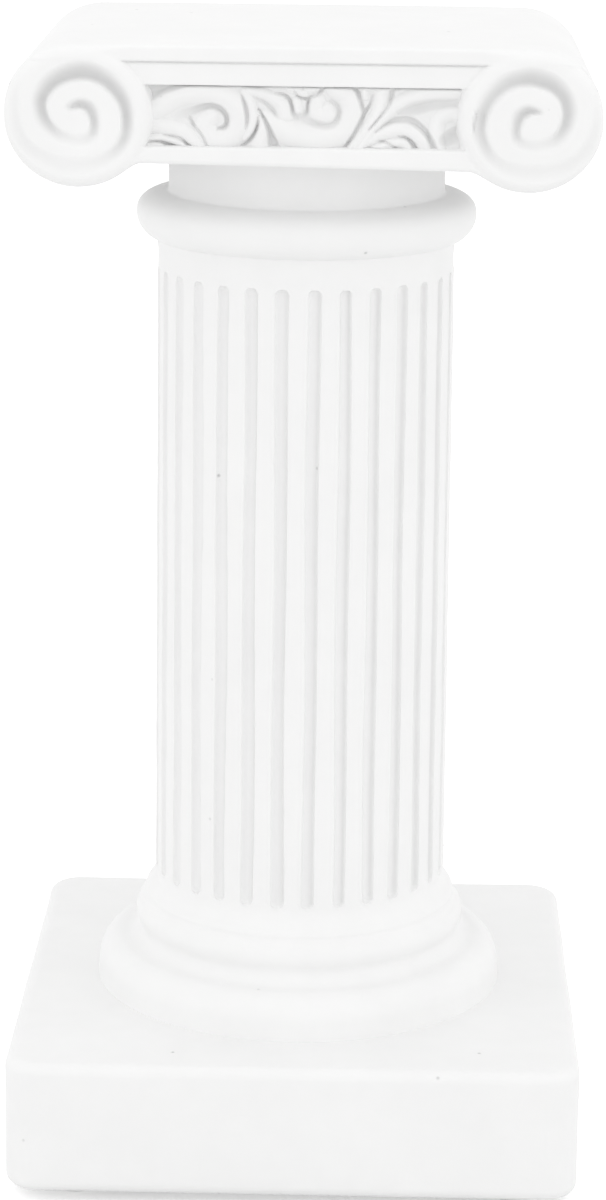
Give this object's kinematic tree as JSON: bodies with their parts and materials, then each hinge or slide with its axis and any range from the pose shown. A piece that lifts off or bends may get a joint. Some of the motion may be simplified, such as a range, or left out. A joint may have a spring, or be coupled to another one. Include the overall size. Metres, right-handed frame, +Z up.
{
  "type": "pedestal column stand",
  "caption": "Small white cast pedestal in the form of an Ionic column: square plinth, fluted shaft, scroll capital with a flat top for a vase, plant pot or figure.",
  "frame": {"origin": "middle of the footprint, on the surface under the pads", "axes": "+Z up, -Y towards the front, +X to the right seen from the front; the scrolls roll along Y"},
  "size_m": [0.1, 0.1, 0.1994],
  "materials": {
    "white_casting": "matte",
    "zinc_steel": "satin",
    "insert_brass": "satin",
    "pad_rubber": "satin"
  },
  "bodies": {
    "root": {"plinth": "white_casting", "base_moulding": "white_casting", "fluted_shaft": "white_casting", "collar": "white_casting", "neck_drum": "white_casting", "scroll_capital": "white_casting", "relief_strip_front": "white_casting", "relief_strip_rear": "white_casting", "tie_rod": "zinc_steel", "rod_washer": "zinc_steel", "rod_nut": "zinc_steel", "rod_insert": "insert_brass", "foot_pad_front_left": "pad_rubber", "foot_pad_front_right": "pad_rubber", "foot_pad_rear_left": "pad_rubber", "foot_pad_rear_right": "pad_rubber"}
  },
  "joints": []
}
